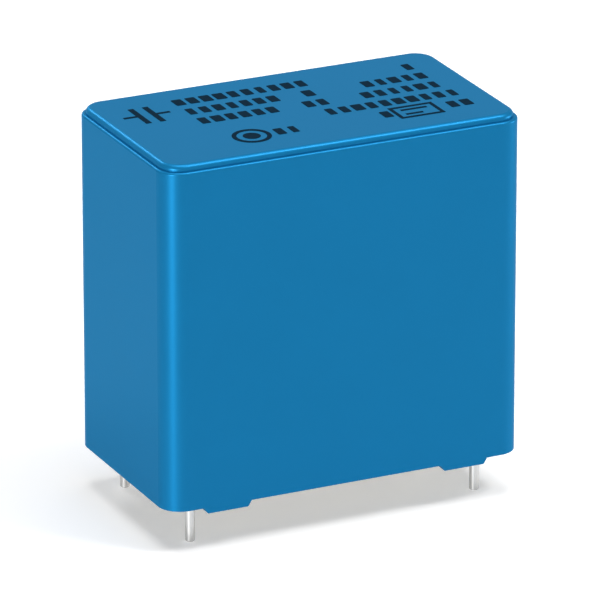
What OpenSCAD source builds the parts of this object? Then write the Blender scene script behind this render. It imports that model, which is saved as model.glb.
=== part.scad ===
// Box film capacitor: a pressed film winding potted in a moulded case, with four wire leads.
// X runs along the length, Y along the width and Z up. Z = 0 is the board that the feet stand on,
// and the origin is the middle of the lead pattern.

/* [Case] */
// Length of the case
case_l = 31.5; // [31:0.1:36]
// Width of the case
case_w = 17.8; // [17.2:0.1:22]
// Height from the board to the raised panel on top
case_h = 29.55; // [26:0.05:36]
// Thickness of the side walls
wall = 0.9; // [0.7:0.1:1.1]
// Thickness of the top, measured through the raised panel
top_t = 1.2; // [1:0.1:2]
// Radius of the four upright corners
corner_r = 1.9; // [1.6:0.1:3]
// Rounding of the edge between the side walls and the ledge
ledge_edge_r = 0.2; // [0.1:0.05:0.25]
// Rounding between the inside walls and the inside of the top
cavity_edge_r = 0.4; // [0.1:0.1:0.4]

/* [Raised panel] */
// Width of the ledge round the raised panel
panel_inset = 0.3; // [0.25:0.05:1]
// Height of the raised panel above the ledge
panel_h = 0.53; // [0.45:0.01:0.8]
// Radius of the panel's upright corners
panel_corner_r = 1.75; // [1.2:0.05:2.5]
// Rounding of the panel's upper edge
panel_edge_r = 0.4; // [0.1:0.05:0.45]

/* [Feet] */
// Height of the feet below the walls
foot_h = 0.5; // [0.3:0.05:1.5]
// Width of a foot where it joins the wall
foot_root_w = 4.15; // [3.8:0.05:6]
// Width of a foot where it stands on the board
foot_base_w = 3.55; // [2:0.05:3.7]
// Distance between the middles of the two feet of a side
foot_pitch = 21; // [12:0.5:22]
// Rounding of the lower corners of a foot
foot_corner_r = 0.15; // [0.05:0.05:0.25]

/* [Leads] */
// Diameter of the wires
lead_d = 0.8; // [0.6:0.05:1]
// Distance from the case's end to the middle of a lead
lead_inset_x = 3.05; // [2.7:0.05:4.5]
// Distance from the case's long side to the middle of a lead
lead_inset_y = 2.55; // [2.4:0.05:5]
// Length of the leads below the board face of the feet
lead_below = 3.2; // [2:0.1:15]
// Rounding of the cut lower end of a lead
lead_tip_r = 0.1; // [0.05:0.05:0.25]
// Depth in the resin at which the wire's pressed stretch begins
press_depth = 0.05; // [0.05:0.05:1]
// Thickness of the pressed stretch, which lies against the sprayed metal
pressed_t = 0.6; // [0.5:0.05:0.7]
// Width of the pressed stretch
pressed_w = 0.88; // [0.8:0.02:1]
// Rounding of the pressed stretch's edges
pressed_edge_r = 0.15; // [0.05:0.05:0.15]
// Depth to which the wires are sunk in the sprayed metal
lead_sink = 0.2; // [0.2:0.05:0.35]
// Length of wire that stands above its solder joint
lead_over = 0.6; // [0.2:0.1:1.5]

/* [Winding] */
// Resin between the wrapped winding and each side wall
side_cover = 0.8; // [0.4:0.1:1]
// Resin between the wrapped winding and the inside of the top
top_cover = 1; // [0.4:0.1:2]
// Resin between the wrapped winding and the open underside
bottom_cover = 2.4; // [1:0.1:4]
// Thickness of the plain film turns round the winding
wrap_t = 0.3; // [0.1:0.05:0.6]
// Thickness of the sprayed metal on each end of the winding
spray_t = 0.5; // [0.4:0.05:1]

/* [Solder joints] */
// Length of a solder joint between its rounded ends
solder_l = 5; // [3:0.5:7]
// Radius of the half-round solder joint
solder_r = 0.75; // [0.75:0.05:1]

/* [Potting resin] */
// Depth of the resin's face inside the lower rim of the walls
resin_recess = 0.7; // [0.5:0.1:2]
// Height to which the resin creeps along the walls
wall_creep = 0.25; // [0.1:0.05:0.45]
// Height to which the resin creeps along the leads
lead_creep = 0.3; // [0.1:0.05:0.45]

/* [Hidden] */

$fn = 64;
cut_over = 1; // how far a cutter runs past the face it opens
left = -1;
right = 1;
front = -1;
back = 1;

case_blue = "#1876aa";
resin_cream = "#cfc8b4";
film_grey = "#b4b7bd";
wrap_clear = "#dcd3b8";
spray_grey = "#8f9396";
tin = "#c4c4c2";
solder_tin = "#a9acae";

ledge_z = case_h - panel_h;
panel_l = case_l - 2 * panel_inset;
panel_w = case_w - 2 * panel_inset;
cavity_l = case_l - 2 * wall;
cavity_w = case_w - 2 * wall;
cavity_r = corner_r - wall;
cavity_z = case_h - top_t;
resin_z = foot_h + resin_recess;

wrapped_w = cavity_w - 2 * side_cover;
wrapped_top_z = cavity_z - top_cover;
wrapped_h = wrapped_top_z - resin_z - bottom_cover;
wrapped_mid_z = wrapped_top_z - wrapped_h / 2;

lead_pitch_x = case_l - 2 * lead_inset_x;
lead_pitch_y = case_w - 2 * lead_inset_y;
pressed_z = resin_z + press_depth;
lead_top_z = wrapped_mid_z + solder_l / 2 + solder_r + lead_over;

// The winding is as long as the leads, which run straight up, need it to be
spray_face_x = lead_pitch_x / 2 - pressed_t / 2 + lead_sink;
winding_l = 2 * (spray_face_x - spray_t);

// ---- Shared shapes

// Sweeps an outline round a rectangle with rounded corners. The outline's x runs outwards from
// the corner's upright axis, so its part at x = r follows the rectangle's edge.
module sweep_round(l, w, r) {
    reach = [l / 2 - r, w / 2 - r];
    for (k = [0:3]) {
        out = reach[k % 2];
        side = reach[(k + 1) % 2];
        rotate(90 * k) {
            translate([out, 0, 0])
                rotate([90, 0, 0]) linear_extrude(2 * side, center = true) children();
            translate([out, side, 0]) rotate_extrude(angle = 90) children();
        }
    }
}

// Half section of a block: a wall of width r and height h with its upper outer edge rounded
module wall_section(r, h, edge_r) {
    difference() {
        square([r, h]);
        translate([r - edge_r, h - edge_r]) difference() {
            square(edge_r);
            circle(edge_r);
        }
    }
}

// Upright block with rounded corners and a rounded upper edge, standing on z = 0
module rounded_block(l, w, h, r, edge_r) {
    translate([0, 0, h / 2]) cube([l - 2 * r, w - 2 * r, h], center = true);
    sweep_round(l, w, r) wall_section(r, h, edge_r);
}

// Section of the concave fillet that resin forms where it creeps down a surface at x = 0 from
// its own face at y = 0. It reaches height along both and meets them at a small angle.
// Behind x = 0 it runs on by back, for what is cut away afterwards.
module creep_section(height, back = 0) {
    centre = 1.6 * height;
    block = 1.5 * height;
    difference() {
        translate([-back, -block]) square([back + block, block]);
        translate([centre, -centre]) circle(norm([centre, centre - height]));
    }
}

// Bar along X with the flattened section of a pressed roll: flat sides and half-round edges
module pressed_roll(w, h, l) {
    rotate([90, 0, 90]) linear_extrude(l, center = true) {
        square([w, h - w], center = true);
        for (end = [-1, 1]) translate([0, end * (h - w) / 2]) circle(d = w);
    }
}

// ---- Case

// Inside of the case, from a height up to the inside of the top
module cavity(from_z) {
    translate([0, 0, from_z])
        rounded_block(cavity_l, cavity_w, cavity_z - from_z, cavity_r, cavity_edge_r);
}

// What rounding a lower corner of a foot takes away. The corner is at the base's right end.
module foot_corner_waste() {
    flare = atan2(foot_h, (foot_root_w - foot_base_w) / 2);
    tangent = foot_corner_r * tan(flare / 2);
    centre = [-tangent, foot_corner_r];
    difference() {
        polygon([[0, 0], tangent * [cos(flare), sin(flare)], centre, [-tangent, 0]]);
        translate(centre) circle(foot_corner_r);
    }
}

module foot_outline() {
    root = foot_root_w / 2;
    base = foot_base_w / 2;
    difference() {
        polygon([[-root, foot_h], [-base, 0], [base, 0], [root, foot_h]]);
        for (end = [0, 1]) mirror([end, 0]) translate([base, 0]) foot_corner_waste();
    }
}

// The four feet carry the two long walls down to the board
module feet() {
    for (side = [front, back], end = [left, right])
        translate([end * foot_pitch / 2, side * (case_w - wall) / 2, 0])
            rotate([90, 0, 0]) linear_extrude(wall, center = true) foot_outline();
}

module case() {
    panel_root = 1; // how deep the panel's block stands in the walls' block
    color(case_blue) difference() {
        union() {
            translate([0, 0, foot_h])
                rounded_block(case_l, case_w, ledge_z - foot_h, corner_r, ledge_edge_r);
            translate([0, 0, ledge_z - panel_root])
                rounded_block(panel_l, panel_w, panel_h + panel_root, panel_corner_r, panel_edge_r);
            feet();
        }
        cavity(foot_h - cut_over);
    }
}

// ---- Leads

// Puts children where one lead enters the board, with their x running out of the case's end
module at_lead(end, side) {
    translate([end * lead_pitch_x / 2, side * lead_pitch_y / 2, 0])
        mirror([end == left ? 1 : 0, 0, 0]) children();
}

module at_each_lead() {
    for (end = [left, right], side = [front, back]) at_lead(end, side) children();
}

// Section of the stretch that is pressed to a rounded rectangle
module pressed_section() {
    side = [pressed_t, pressed_w] / 2 - [pressed_edge_r, pressed_edge_r];
    square([2 * side.x, pressed_w], center = true);
    square([pressed_t, 2 * side.y], center = true);
    for (i = [-1, 1], j = [-1, 1]) translate([i * side.x, j * side.y]) circle(pressed_edge_r);
}

// Straight wire with a slightly rounded lower end. It is round up to just inside the resin, and
// from there it is pressed flatter to lie against the sprayed metal.
module wire() {
    translate([0, 0, pressed_z]) mirror([0, 0, 1]) rotate_extrude()
        wall_section(lead_d / 2, pressed_z + lead_below, lead_tip_r);
    translate([0, 0, pressed_z]) linear_extrude(lead_top_z - pressed_z) pressed_section();
}

module lead(end, side) color(tin) at_lead(end, side) wire();

// ---- Winding and its ends

module film_winding() {
    color(film_grey) translate([0, 0, wrapped_mid_z])
        pressed_roll(wrapped_w - 2 * wrap_t, wrapped_h - 2 * wrap_t, winding_l);
}

module outer_wrap() {
    color(wrap_clear) translate([0, 0, wrapped_mid_z]) difference() {
        pressed_roll(wrapped_w, wrapped_h, winding_l);
        pressed_roll(wrapped_w - 2 * wrap_t, wrapped_h - 2 * wrap_t, winding_l + 2 * cut_over);
    }
}

// Sprayed metal on one end of the winding, with grooves where the wires are sunk in it
module end_spray(end) {
    color(spray_grey) difference() {
        translate([end * (spray_face_x - spray_t / 2), 0, wrapped_mid_z])
            pressed_roll(wrapped_w, wrapped_h, spray_t);
        at_each_lead() wire();
    }
}

// ---- Solder joints

// Half-round bead that lies along a lead on the spray's face and has quarter-ball ends
module solder_bead() {
    translate([spray_face_x - lead_pitch_x / 2, 0, wrapped_mid_z]) {
        linear_extrude(solder_l, center = true) intersection() {
            circle(solder_r);
            translate([0, -solder_r]) square([solder_r, 2 * solder_r]);
        }
        for (under = [0, 1])
            mirror([0, 0, under]) translate([0, 0, solder_l / 2]) rotate(-90)
                rotate_extrude(angle = 180) intersection() {
                    circle(solder_r);
                    square(solder_r);
                }
    }
}

module solder_joint(end, side) {
    color(solder_tin) at_lead(end, side) difference() {
        solder_bead();
        wire();
    }
}

// ---- Potting resin

// Fills the case round everything inside it and creeps a little down the walls and the leads
module potting_resin() {
    color(resin_cream) difference() {
        union() {
            cavity(resin_z);
            translate([0, 0, resin_z]) {
                sweep_round(cavity_l, cavity_w, cavity_r)
                    translate([cavity_r, 0]) mirror([1, 0]) creep_section(wall_creep);
                at_each_lead() rotate_extrude()
                    translate([lead_d / 2, 0]) creep_section(lead_creep, lead_d / 4);
            }
        }
        translate([0, 0, wrapped_mid_z]) pressed_roll(wrapped_w, wrapped_h, 2 * spray_face_x);
        at_each_lead() {
            wire();
            solder_bead();
        }
    }
}

case();
potting_resin();
film_winding();
outer_wrap();
end_spray(left);  // end_spray_left
end_spray(right);  // end_spray_right
lead(left, front);  // lead_front_left
lead(right, front);  // lead_front_right
lead(left, back);  // lead_back_left
lead(right, back);  // lead_back_right
solder_joint(left, front);  // solder_front_left
solder_joint(right, front);  // solder_front_right
solder_joint(left, back);  // solder_back_left
solder_joint(right, back);  // solder_back_right
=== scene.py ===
import math

import bmesh
import bpy
from mathutils import Matrix, Vector


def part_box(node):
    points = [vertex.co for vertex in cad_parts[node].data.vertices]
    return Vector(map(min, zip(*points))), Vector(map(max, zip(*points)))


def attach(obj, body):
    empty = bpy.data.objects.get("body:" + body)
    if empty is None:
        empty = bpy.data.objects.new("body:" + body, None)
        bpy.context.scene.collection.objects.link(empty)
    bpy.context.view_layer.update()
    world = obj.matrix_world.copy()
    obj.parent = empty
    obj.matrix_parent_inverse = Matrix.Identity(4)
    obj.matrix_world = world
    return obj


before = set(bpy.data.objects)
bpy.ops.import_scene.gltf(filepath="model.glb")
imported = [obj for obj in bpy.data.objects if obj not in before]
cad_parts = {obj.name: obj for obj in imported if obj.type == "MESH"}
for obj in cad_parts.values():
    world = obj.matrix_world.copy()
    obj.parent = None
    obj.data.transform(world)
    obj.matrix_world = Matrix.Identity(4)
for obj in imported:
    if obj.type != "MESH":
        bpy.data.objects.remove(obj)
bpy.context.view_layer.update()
print("frame loaded:", len(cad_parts), "nodes")

mm = 0.001
caseLow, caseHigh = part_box("case")
panelTop = caseHigh.z
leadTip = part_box("lead_front_left")[0].z


class Signal:
    # a node's output that takes part in Python sums and products
    def __init__(self, nodes, socket):
        self.nodes = nodes
        self.socket = socket

    def math(self, operation, first, second):
        return self.nodes.node("ShaderNodeMath", {"operation": operation}, {0: first, 1: second})

    def __add__(self, other):
        return self.math("ADD", self, other)

    def __sub__(self, other):
        return self.math("SUBTRACT", self, other)

    def __rsub__(self, other):
        return self.math("SUBTRACT", other, self)

    def __mul__(self, other):
        return self.math("MULTIPLY", self, other)

    __radd__ = __add__
    __rmul__ = __mul__


class Nodes:
    # a node tree, with one method that makes any node
    def __init__(self, tree):
        self.tree = tree
        self.tree.nodes.clear()

    def node(self, kind, settings=None, sockets=None, out=0):
        made = self.tree.nodes.new(kind)
        for name, value in (settings or {}).items():
            setattr(made, name, value)
        for name, value in (sockets or {}).items():
            if isinstance(value, Signal):
                self.tree.links.new(value.socket, made.inputs[name])
            else:
                made.inputs[name].default_value = value
        return Signal(self, made.outputs[out]) if made.outputs else None

    def shown(self):
        # above 0 only for what the camera sees, straight or by way of metal or glass
        rays = ("Is Camera Ray", "Is Glossy Ray", "Is Transmission Ray")
        camera, gloss, glass = (self.node("ShaderNodeLightPath", out=ray) for ray in rays)
        return camera + gloss + glass

    def mixed(self, share, first, second):
        # one shader where share is 0, and the other where it is 1
        return self.node("ShaderNodeMixShader", sockets={0: share, 1: first, 2: second})


class Finish(Nodes):
    # the nodes of a material, most of which vary over the piece's own coordinates
    def __init__(self, name):
        self.material = bpy.data.materials.new(name)
        self.material.use_nodes = True
        super().__init__(self.material.node_tree)
        self.place = self.node("ShaderNodeTexCoord", out="Object")

    def noise(self, size, detail=2, roughness=0.5):
        # from 0 to 1, in patches about size metres across, or of three sizes along X, Y and Z
        scale, place = 1.0, self.place
        if isinstance(size, tuple):
            place = self.node("ShaderNodeMapping", sockets={
                "Vector": self.place, "Scale": tuple(1 / side for side in size),
            })
        else:
            scale = 1 / size
        return self.node("ShaderNodeTexNoise", sockets={
            "Vector": place, "Scale": scale, "Detail": detail, "Roughness": roughness,
        })

    def between(self, share, low, high):
        # a colour that goes from low to high with share
        return self.node("ShaderNodeMix", {"data_type": "RGBA"}, {
            0: share, 6: (*low, 1), 7: (*high, 1),
        }, out=2)

    def relief(self, height, depth, under=None):
        # a normal from a height that runs from 0 to 1 and stands for depth metres
        sockets = {"Height": height, "Distance": depth}
        if under:
            sockets["Normal"] = under
        return self.node("ShaderNodeBump", sockets=sockets)

    def surface(self, **sockets):
        shader = self.node("ShaderNodeBsdfPrincipled", sockets=sockets)
        self.node("ShaderNodeOutputMaterial", sockets={"Surface": shader})
        return self.material


def shade(colour, factor):
    return tuple(channel * factor for channel in colour)


def blend(first, second, share):
    # the first's share of both
    return share * first + (1 - share) * second


def ranged(share, limits):
    # a number that goes from one limit to the other with share
    low, high = limits
    return low + share * (high - low)


caseLook = {
    "colour": (0.0038, 0.146, 0.326),
    "flowShade": (0.97, 1.03),  # faint flow marks, darker and lighter
    "flowSize": 7 * mm,
    "grainSize": 0.09 * mm,     # spark-eroded grain of the mould
    "grainDepth": 0.0012 * mm,
    "grainShare": 0.6,          # of what varies in the roughness
    "roughness": (0.38, 0.44),
    "metallic": 0.6,            # a satin sheen in the plastic's own colour
    "sheenTint": (0.5, 0.8, 1.0),  # keeps that sheen blue where it is seen at a low angle
    "skin": 0.1,                # the glossier skin that the mould leaves
    "skinRoughness": 0.32,
}


def mouldedBlue():
    finish = Finish("moulded blue plastic")
    flow = finish.noise(caseLook["flowSize"], 3)
    grain = finish.noise(caseLook["grainSize"], 3, 0.6)
    dark, light = (shade(caseLook["colour"], factor) for factor in caseLook["flowShade"])
    return finish.surface(**{
        "Base Color": finish.between(flow, dark, light),
        "Roughness": ranged(blend(grain, flow, caseLook["grainShare"]), caseLook["roughness"]),
        "Metallic": caseLook["metallic"],
        "Specular IOR Level": 0.0,
        "Specular Tint": (*caseLook["sheenTint"], 1),
        "Coat Weight": caseLook["skin"],
        "Coat Roughness": caseLook["skinRoughness"],
        "Normal": finish.relief(grain, caseLook["grainDepth"]),
    })


wireLook = {
    "colour": (0.62, 0.62, 0.61),
    "dullShade": 0.86,
    "drawnWidth": 0.03 * mm,    # the fine lines that the drawing die leaves
    "drawnLength": 2.5 * mm,
    "drawnDepth": 0.0015 * mm,
    "drawnShare": 0.5,          # of what varies in the colour, with the clouds
    "cloudSize": 0.5 * mm,
    "roughness": (0.26, 0.42),
}


def tinnedWire():
    finish = Finish("tinned wire")
    thin, long = wireLook["drawnWidth"], wireLook["drawnLength"]
    drawn = finish.noise((thin, thin, long))
    clouds = finish.noise(wireLook["cloudSize"], 3)
    tone = blend(drawn, clouds, wireLook["drawnShare"])
    colour = wireLook["colour"]
    return finish.surface(**{
        "Base Color": finish.between(tone, shade(colour, wireLook["dullShade"]), colour),
        "Metallic": 1.0,
        "Roughness": ranged(clouds, wireLook["roughness"]),
        "Normal": finish.relief(drawn, wireLook["drawnDepth"]),
    })


resinLook = {
    "colour": (0.62, 0.57, 0.44),
    "fillerColour": (0.74, 0.70, 0.60),
    "fillerSize": 0.35 * mm,
    "cloudSize": 4 * mm,
    "cloudShare": 0.55,         # of what varies in the colour, with the filler
    "swellDepth": 0.02 * mm,
    "bubbleSpacing": 1.6 * mm,
    "bubbleShare": (0.078, 0.13),  # where a pit's floor and its rim end, as shares of the spacing
    "bubbleDepth": 0.05 * mm,
    # colour factor inside a pit and outside it: painted shade in the bubble pits
    "bubblePaintedShade": (0.75, 1.0),
    "roughness": (0.22, 0.38),
}


def castResin():
    finish = Finish("cast resin")
    clouds = finish.noise(resinLook["cloudSize"], 4, 0.55)
    filler = finish.noise(resinLook["fillerSize"], 2, 0.7)
    spots = finish.node("ShaderNodeTexVoronoi", sockets={
        "Vector": finish.place, "Scale": 1 / resinLook["bubbleSpacing"], "Randomness": 1.0,
    }, out="Distance")
    inside, outside = resinLook["bubbleShare"]
    pits = finish.node("ShaderNodeMapRange", {"interpolation_type": "SMOOTHSTEP"}, {
        "Value": spots, "From Min": inside, "From Max": outside,
    })
    # the colour is darker inside the pits, which is painted shade
    tone = blend(clouds, filler, resinLook["cloudShare"]) * ranged(pits, resinLook["bubblePaintedShade"])
    swell = finish.relief(clouds, resinLook["swellDepth"])
    return finish.surface(**{
        "Base Color": finish.between(tone, resinLook["colour"], resinLook["fillerColour"]),
        "Roughness": ranged(filler, resinLook["roughness"]),
        "Specular IOR Level": 0.5,
        "Normal": finish.relief(pits, resinLook["bubbleDepth"], under=swell),
    })


filmLook = {
    "colour": (0.60, 0.62, 0.65),
    "edgeShade": 0.8,
    "layerSize": 0.06 * mm,
    "layerLength": 9 * mm,
    "layerDepth": 0.004 * mm,
    "layerShare": 0.7,          # of the relief, with the wrinkles
    "wrinkleSize": 2.5 * mm,
    "metallic": 0.85,
    "roughness": (0.3, 0.5),
}


def metallisedFilm():
    finish = Finish("metallised film")
    thin, long = filmLook["layerSize"], filmLook["layerLength"]
    layers = finish.noise((long, thin, thin), 3, 0.6)
    wrinkles = finish.noise(filmLook["wrinkleSize"])
    colour = filmLook["colour"]
    return finish.surface(**{
        "Base Color": finish.between(layers, shade(colour, filmLook["edgeShade"]), colour),
        "Metallic": filmLook["metallic"],
        "Roughness": ranged(wrinkles, filmLook["roughness"]),
        "Normal": finish.relief(blend(layers, wrinkles, filmLook["layerShare"]), filmLook["layerDepth"]),
    })


wrapLook = {
    "colour": (0.80, 0.74, 0.60),
    "deepColour": (0.66, 0.60, 0.47),
    "bandWidth": 3 * mm,
    "bandLength": 15 * mm,
    "colourShare": 0.7,         # of the bands in the colour, with the wrinkles
    "reliefShare": 0.6,         # and in the relief
    "wrinkleSize": 0.4 * mm,
    "wrinkleDepth": 0.012 * mm,
    "roughness": (0.18, 0.32),
}


def plainWrap():
    finish = Finish("plain wrap film")
    narrow, long = wrapLook["bandWidth"], wrapLook["bandLength"]
    bands = finish.noise((narrow, long, long))
    wrinkles = finish.noise(wrapLook["wrinkleSize"], 3, 0.6)
    tone = blend(bands, wrinkles, wrapLook["colourShare"])
    height = blend(bands, wrinkles, wrapLook["reliefShare"])
    return finish.surface(**{
        "Base Color": finish.between(tone, wrapLook["deepColour"], wrapLook["colour"]),
        "Roughness": ranged(wrinkles, wrapLook["roughness"]),
        "Specular IOR Level": 0.5,
        "Normal": finish.relief(height, wrapLook["wrinkleDepth"]),
    })


sprayLook = {
    "colour": (0.47, 0.48, 0.50),
    # colour in the lowest parts of the relief: painted shade in the hollows
    "paintedPitShade": 0.55,
    "grainSize": 0.14 * mm,
    "grainShare": 0.6,          # of the relief, with the splats
    "grainDepth": 0.05 * mm,
    "splatSize": 0.28 * mm,
    "metallic": 0.8,
    "roughness": (0.75, 0.5),
}


def sprayedMetal():
    finish = Finish("sprayed metal")
    grain = finish.noise(sprayLook["grainSize"], 4, 0.65)
    splats = finish.node("ShaderNodeTexVoronoi", {"feature": "SMOOTH_F1"}, {
        "Vector": finish.place, "Scale": 1 / sprayLook["splatSize"],
    }, out="Distance")
    height = blend(grain, 1 - splats, sprayLook["grainShare"])
    colour = sprayLook["colour"]
    return finish.surface(**{
        # the colour follows the relief's height and is darker where it is low, which is painted shade
        "Base Color": finish.between(height, shade(colour, sprayLook["paintedPitShade"]), colour),
        "Metallic": sprayLook["metallic"],
        "Roughness": ranged(grain, sprayLook["roughness"]),
        "Normal": finish.relief(height, sprayLook["grainDepth"]),
    })


solderLook = {
    "colour": (0.58, 0.59, 0.60),
    "dullShade": 0.78,
    "rippleSize": 0.5 * mm,
    "rippleShare": 0.6,         # of what varies in the colour, with the frost
    "rippleDepth": 0.02 * mm,
    "frostSize": 0.05 * mm,
    "roughness": (0.22, 0.38),
    "frostRoughness": 0.06,
}


def softSolder():
    finish = Finish("soft solder")
    ripples = finish.noise(solderLook["rippleSize"], 3, 0.55)
    frost = finish.noise(solderLook["frostSize"])
    tone = blend(ripples, frost, solderLook["rippleShare"])
    colour = solderLook["colour"]
    return finish.surface(**{
        "Base Color": finish.between(tone, shade(colour, solderLook["dullShade"]), colour),
        "Metallic": 1.0,
        "Roughness": ranged(ripples, solderLook["roughness"]) + solderLook["frostRoughness"] * frost,
        "Normal": finish.relief(ripples, solderLook["rippleDepth"]),
    })


inkLook = {
    "colour": (0.007, 0.020, 0.036),
    "wornColour": (0.012, 0.042, 0.078),
    "mottleSize": 0.12 * mm,
    "mottleDepth": 0.002 * mm,
    "roughness": (0.45, 0.60),
}


def printInk():
    finish = Finish("print ink")
    mottle = finish.noise(inkLook["mottleSize"], 3, 0.6)
    return finish.surface(**{
        "Base Color": finish.between(mottle * mottle, inkLook["colour"], inkLook["wornColour"]),
        "Roughness": ranged(mottle, inkLook["roughness"]),
        "Specular IOR Level": 0.0,
        "Normal": finish.relief(mottle, inkLook["mottleDepth"]),
    })


def dressNodes():
    # each finish goes on the nodes whose names start with its key
    finishes = {
        "case": mouldedBlue(),
        "potting_resin": castResin(),
        "film_winding": metallisedFilm(),
        "outer_wrap": plainWrap(),
        "end_spray": sprayedMetal(),
        "lead": tinnedWire(),
        "solder": softSolder(),
    }
    for name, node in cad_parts.items():
        finish = next(made for start, made in finishes.items() if name.startswith(start))
        node.data.materials.clear()
        node.data.materials.append(finish)
        for face in node.data.polygons:
            face.material_index = 0
    print("finishes on", len(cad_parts), "nodes")


rowSizes = {                    # these go to the tree's inputs of the same names
    "Pitch": 1.2 * mm,          # from one block to the next
    "Gap": 0.28 * mm,           # between blocks
    "Height": 1.4 * mm,
    "Thickness": 0.015 * mm,
    "Corner": 0.12 * mm,
    "Narrowest": 0.62,          # share of a full block's width
}
printSizes = {
    "rowStep": 2.4 * mm,
    "firstRow": 5.25 * mm,      # middle of the rearmost row
    "cornerPoints": 4,
    "weldDistance": 0.0005 * mm,
}
# groups of blocks: the row, counted from the back, the left end in mm, and how many blocks
blockGroups = [
    (0, -8.65, 10), (0, 11.75, 1),
    (1, -8.65, 7), (1, 1.70, 1), (1, 6.95, 5),
    (2, -8.65, 6), (2, 0.60, 2), (2, 5.75, 6),
    (3, 1.40, 10),
    (4.05, -4.3, 2), (4.05, 11.0, 2), (4.05, 5.1, 1),  # beside the plain marks
]


def blockRowTree():
    # a row of rounded blocks whose widths vary, from named inputs
    tree = bpy.data.node_groups.new("block row", "GeometryNodeTree")
    tree.interface.new_socket("Geometry", in_out="OUTPUT", socket_type="NodeSocketGeometry")
    kinds = {"Start": "Vector", "Blocks": "Int", "Seed": "Int", "Ink": "Material"}
    kinds.update({name: "Float" for name in rowSizes})
    keys = {
        name: tree.interface.new_socket(name, in_out="INPUT", socket_type="NodeSocket" + kind).identifier
        for name, kind in kinds.items()
    }
    maker = Nodes(tree)
    inputs = tree.nodes.new("NodeGroupInput").outputs
    given = {name: Signal(maker, inputs[name]) for name in kinds}
    points = maker.node("GeometryNodeMeshLine", {"mode": "OFFSET"}, {
        "Count": given["Blocks"], "Start Location": given["Start"],
        "Offset": maker.node("ShaderNodeCombineXYZ", sockets={"X": given["Pitch"]}),
    })
    outline = maker.node("GeometryNodeCurvePrimitiveQuadrilateral", sockets={
        "Width": given["Pitch"] - given["Gap"], "Height": given["Height"],
    })
    rounded = maker.node("GeometryNodeFilletCurve", {"mode": "POLY"}, {
        "Curve": outline, "Count": printSizes["cornerPoints"], "Radius": given["Corner"],
    })
    flat = maker.node("GeometryNodeFillCurve", {"mode": "NGONS"}, {"Curve": rounded})
    raised = maker.node("GeometryNodeExtrudeMesh", sockets={
        "Mesh": flat, "Offset Scale": given["Thickness"],
    })
    share = maker.node("FunctionNodeRandomValue", {"data_type": "FLOAT"}, {
        2: given["Narrowest"], 3: 1.0, "Seed": given["Seed"],
    }, out=1)
    blocks = maker.node("GeometryNodeInstanceOnPoints", sockets={
        "Points": points, "Instance": raised,
        "Scale": maker.node("ShaderNodeCombineXYZ", sockets={"X": share, "Y": 1.0, "Z": 1.0}),
    })
    real = maker.node("GeometryNodeRealizeInstances", sockets={"Geometry": blocks})
    inked = maker.node("GeometryNodeSetMaterial", sockets={"Geometry": real, "Material": given["Ink"]})
    maker.node("NodeGroupOutput", sockets={"Geometry": inked})
    return tree, keys


def blockRow(tree, keys, values):
    # one group of blocks as a plain mesh
    maker = bpy.data.objects.new("rowMaker", bpy.data.meshes.new("rowMaker"))
    bpy.context.scene.collection.objects.link(maker)
    modifier = maker.modifiers.new("block row", "NODES")
    modifier.node_group = tree
    for name, value in values.items():
        modifier[keys[name]] = value
    evaluated = maker.evaluated_get(bpy.context.evaluated_depsgraph_get())
    mesh = bpy.data.meshes.new_from_object(evaluated)
    bpy.data.objects.remove(maker)
    return mesh


def prism(shape, outline, hole=()):
    # raises an outline, and a hole with as many points, to the thickness of the print
    heights = (panelTop, panelTop + rowSizes["Thickness"])
    loops = [loop for loop in (outline, hole) if loop]
    rings = [[shape.verts.new((x, y, z)) for x, y in loop] for z in heights for loop in loops]
    count = len(outline)
    for k in range(count):
        n = (k + 1) % count
        if hole:
            outLow, inLow, outHigh, inHigh = rings
            shape.faces.new((outLow[k], outLow[n], outHigh[n], outHigh[k]))
            shape.faces.new((inLow[n], inLow[k], inHigh[k], inHigh[n]))
            shape.faces.new((outHigh[k], outHigh[n], inHigh[n], inHigh[k]))
            shape.faces.new((outLow[n], outLow[k], inLow[k], inLow[n]))
        else:
            outLow, outHigh = rings
            shape.faces.new((outLow[k], outLow[n], outHigh[n], outHigh[k]))
    if not hole:
        shape.faces.new(rings[1])
        shape.faces.new(reversed(rings[0]))


def slab(shape, x, y, width, height):
    # a flat bar of print round its middle
    corners = [(-1, -1), (1, -1), (1, 1), (-1, 1)]
    prism(shape, [(x + i * width / 2, y + j * height / 2) for i, j in corners])


def roundLoop(x, y, radius):
    count = markSizes["roundPoints"]
    turns = [2 * math.pi * k / count for k in range(count)]
    return [(x + radius * math.cos(turn), y + radius * math.sin(turn)) for turn in turns]


symbolSizes = {
    "middle": (-11.75 * mm, 3.55 * mm),
    "plateLength": 3.7 * mm,
    "plateThickness": 0.5 * mm,
    "plateGap": 0.75 * mm,
    "stemLength": 1.15 * mm,
    "stemThickness": 0.34 * mm,
}


def capacitorSymbol(shape):
    # the usual sign in circuit diagrams: two plates, each with its lead
    x, y = symbolSizes["middle"]
    thickness, gap, stem = (symbolSizes[name] for name in ("plateThickness", "plateGap", "stemLength"))
    for side in (-1, 1):
        plate = x + side * (gap + thickness) / 2
        slab(shape, plate, y, thickness, symbolSizes["plateLength"])
        slab(shape, plate + side * (thickness + stem) / 2, y, stem, symbolSizes["stemThickness"])


markSizes = {
    "ringMiddle": (-6.3 * mm, -4.5 * mm),
    "outer": 1.6 * mm,          # radii of the ring and of the dot in it
    "inner": 1.22 * mm,
    "dot": 0.72 * mm,
    "roundPoints": 48,
    "frameMiddle": (8.15 * mm, -4.6 * mm),
    "frameSize": (3.9 * mm, 2.7 * mm),
    "frameLine": 0.32 * mm,
    "barLengths": (2.3 * mm, 1.5 * mm),
    "barStep": 1.0 * mm,
}


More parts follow.
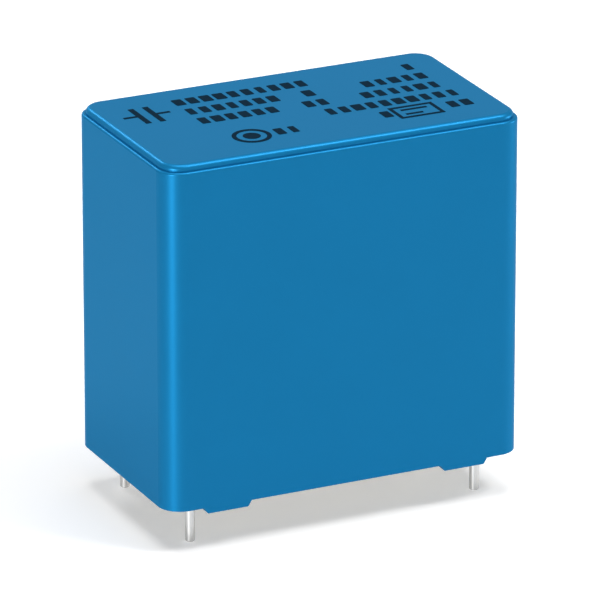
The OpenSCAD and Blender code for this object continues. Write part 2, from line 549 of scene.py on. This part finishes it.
def plainMarks(shape):
    # a ring round a dot, and a frame round two bars that start at one edge
    x, y = markSizes["ringMiddle"]
    prism(shape, roundLoop(x, y, markSizes["outer"]), roundLoop(x, y, markSizes["inner"]))
    prism(shape, roundLoop(x, y, markSizes["dot"]))
    x, y = markSizes["frameMiddle"]
    width, height = markSizes["frameSize"]
    line = markSizes["frameLine"]
    for side in (-1, 1):
        slab(shape, x, y + side * (height - line) / 2, width, line)
        slab(shape, x + side * (width - line) / 2, y, line, height - 2 * line)
    longest = markSizes["barLengths"][0]
    for k, length in enumerate(markSizes["barLengths"]):
        slab(shape, x - (longest - length) / 2, y + (0.5 - k) * markSizes["barStep"], length, line)


def panelPrint():
    # rows of plain blocks and the plain marks, as one thin piece on the raised panel
    ink = printInk()
    tree, keys = blockRowTree()
    shape = bmesh.new()
    halfBlock = (rowSizes["Pitch"] - rowSizes["Gap"]) / 2
    for seed, (row, start, count) in enumerate(blockGroups):
        first = (start * mm + halfBlock, printSizes["firstRow"] - row * printSizes["rowStep"], panelTop)
        mesh = blockRow(tree, keys, rowSizes | {
            "Start": first, "Blocks": count, "Seed": seed, "Ink": ink,
        })
        shape.from_mesh(mesh)
        bpy.data.meshes.remove(mesh)
    capacitorSymbol(shape)
    plainMarks(shape)
    bmesh.ops.remove_doubles(shape, verts=shape.verts, dist=printSizes["weldDistance"])
    bmesh.ops.recalc_face_normals(shape, faces=shape.faces)
    mesh = bpy.data.meshes.new("panel_print")
    shape.to_mesh(mesh)
    shape.free()
    mesh.materials.clear()
    mesh.materials.append(ink)
    piece = bpy.data.objects.new("panel_print", mesh)
    bpy.context.scene.collection.objects.link(piece)
    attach(piece, "root")
    print("print on the panel:", len(mesh.polygons), "faces")


stageSizes = {
    "floorSize": 3.0,
    "floorColour": (0.86, 0.86, 0.86),
    "floorShade": 0.99,         # faint mottle, and its size
    "floorMottle": 3 * mm,
    "floorLift": 0.42,          # what the camera sees on top of the lit floor, for a white ground
    "nearGround": 0.12,         # from here outwards the ground fades to the background's white
    "farGround": 0.35,
    "fillLevel": 0.12,          # light from all round
    "background": 1.0,
}


def paleFloor():
    # at the tips of the leads; it takes the object's shadow, and is clear when seen from below
    half = stageSizes["floorSize"] / 2
    mesh = bpy.data.meshes.new("floor")
    corners = [(-half, -half), (half, -half), (half, half), (-half, half)]
    mesh.from_pydata([(x, y, leadTip) for x, y in corners], [], [(0, 1, 2, 3)])
    floor = bpy.data.objects.new("floor", mesh)
    bpy.context.scene.collection.objects.link(floor)
    finish = Finish("pale floor")
    colour = stageSizes["floorColour"]
    mottle = finish.noise(stageSizes["floorMottle"], 3)
    lit = finish.node("ShaderNodeBsdfDiffuse", sockets={
        "Color": finish.between(mottle, shade(colour, stageSizes["floorShade"]), colour),
    })
    lift, white = (
        finish.node("ShaderNodeEmission", sockets={"Color": (1, 1, 1, 1), "Strength": stageSizes[level]})
        for level in ("floorLift", "background")
    )
    lifted = finish.node("ShaderNodeAddShader", sockets={0: lit, 1: lift})
    reach = finish.node("ShaderNodeVectorMath", {"operation": "LENGTH"}, {0: finish.place}, out="Value")
    far = finish.node("ShaderNodeMapRange", {"interpolation_type": "SMOOTHSTEP"}, {
        "Value": reach, "From Min": stageSizes["nearGround"], "From Max": stageSizes["farGround"],
    })
    above = finish.mixed(finish.shown(), lit, finish.mixed(far, lifted, white))
    below = finish.node("ShaderNodeNewGeometry", out="Backfacing")
    ground = finish.mixed(below, above, finish.node("ShaderNodeBsdfTransparent"))
    finish.node("ShaderNodeOutputMaterial", sockets={"Surface": ground})
    mesh.materials.append(finish.material)


def direction(azimuth, elevation):
    # degrees from the front, growing to the right, and degrees up
    turn, lift = math.radians(azimuth), math.radians(elevation)
    return Vector((math.sin(turn) * math.cos(lift), -math.cos(turn) * math.cos(lift), math.sin(lift)))


def aimed(obj, place, aim):
    # a lamp or a camera at its place, facing the aim
    turned = (place - aim).to_track_quat("Z", "Y").to_matrix().to_4x4()
    obj.matrix_world = Matrix.Translation(place) @ turned
    bpy.context.scene.collection.objects.link(obj)


# azimuth and elevation in degrees, distance and sides in metres, and power
lamps = {
    "cornerStrip": dict(azimuth=-54, elevation=-1, distance=0.6, sides=(0.07, 0.012), power=2.3),
    "farStrip": dict(azimuth=72, elevation=-1, distance=0.6, sides=(0.07, 0.012), power=1.0),
    "highRight": dict(azimuth=49, elevation=58, distance=0.8, sides=(0.2, 0.2), power=2.7),
    "backLeft": dict(azimuth=-173, elevation=32, distance=0.8, sides=(0.2, 0.15), power=1.4),
    "overhead": dict(azimuth=0, elevation=88, distance=0.9, sides=(0.5, 0.5), power=4.2),
}


def lightStage():
    middle = (caseLow + caseHigh) / 2
    for name, lamp in lamps.items():
        light = bpy.data.lights.new(name, "AREA")
        light.shape = "RECTANGLE"
        light.size, light.size_y = lamp["sides"]
        light.energy = lamp["power"]
        holder = bpy.data.objects.new(name, light)
        holder.visible_camera = False
        aimed(holder, middle + lamp["distance"] * direction(lamp["azimuth"], lamp["elevation"]), middle)
    world = bpy.data.worlds.new("studio")
    bpy.context.scene.world = world
    world.use_nodes = True
    sky = Nodes(world.node_tree)
    fill, white = (
        sky.node("ShaderNodeBackground", sockets={"Color": (1, 1, 1, 1), "Strength": stageSizes[level]})
        for level in ("fillLevel", "background")
    )
    sky.node("ShaderNodeOutputWorld", sockets={"Surface": sky.mixed(sky.shown(), fill, white)})
    print("lamps:", ", ".join(lamps))


cameraSetup = {
    "azimuth": -25.456,
    "elevation": 20.553,
    "distance": 0.58912,
    "aimHeight": 15.1 * mm,
    "lens": 439.06,
    "sensorWidth": 36,
    "shift": (0.0011, -0.0381),
    "clip": (0.01, 20),
}


def placeCamera():
    view = bpy.data.cameras.new("view")
    view.lens = cameraSetup["lens"]
    view.sensor_width = cameraSetup["sensorWidth"]
    view.shift_x, view.shift_y = cameraSetup["shift"]
    view.clip_start, view.clip_end = cameraSetup["clip"]
    aim = Vector((0, 0, cameraSetup["aimHeight"]))
    camera = bpy.data.objects.new("view", view)
    toCamera = direction(cameraSetup["azimuth"], cameraSetup["elevation"])
    aimed(camera, aim + cameraSetup["distance"] * toCamera, aim)
    bpy.context.scene.camera = camera


placeCamera()
dressNodes()
panelPrint()
paleFloor()
lightStage()
bpy.context.scene.view_settings.view_transform = "Standard"
bpy.context.view_layer.update()
print("stage and camera set")
